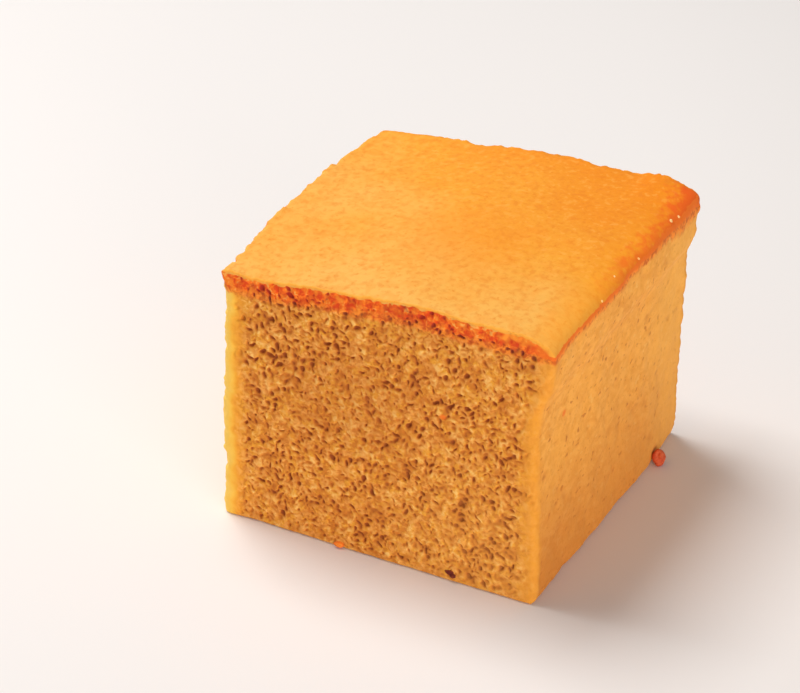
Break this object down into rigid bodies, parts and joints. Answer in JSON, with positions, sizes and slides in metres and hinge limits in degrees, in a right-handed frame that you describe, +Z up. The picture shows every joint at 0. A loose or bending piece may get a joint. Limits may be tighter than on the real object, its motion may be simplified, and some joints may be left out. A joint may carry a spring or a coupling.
{
  "type": "castella sponge cake",
  "caption": "Square-cut block of castella sponge cake with a browned top skin, fine open crumb on its two cut faces and smooth dense sides",
  "frame": {"origin": "middle of the bottom face, which rests on the plate", "axes": "+Z up through the browned top, -Y out of the front cut crumb face, +X out of the smooth right wall"},
  "size_m": [0.0626, 0.0616, 0.052],
  "materials": {
    "sponge": "matte baked sponge: golden brown porous crumb, smooth amber top skin over a red-brown browned band, dense pale golden side walls"
  },
  "bodies": {
    "root": {"sponge_block": "sponge"}
  },
  "joints": []
}
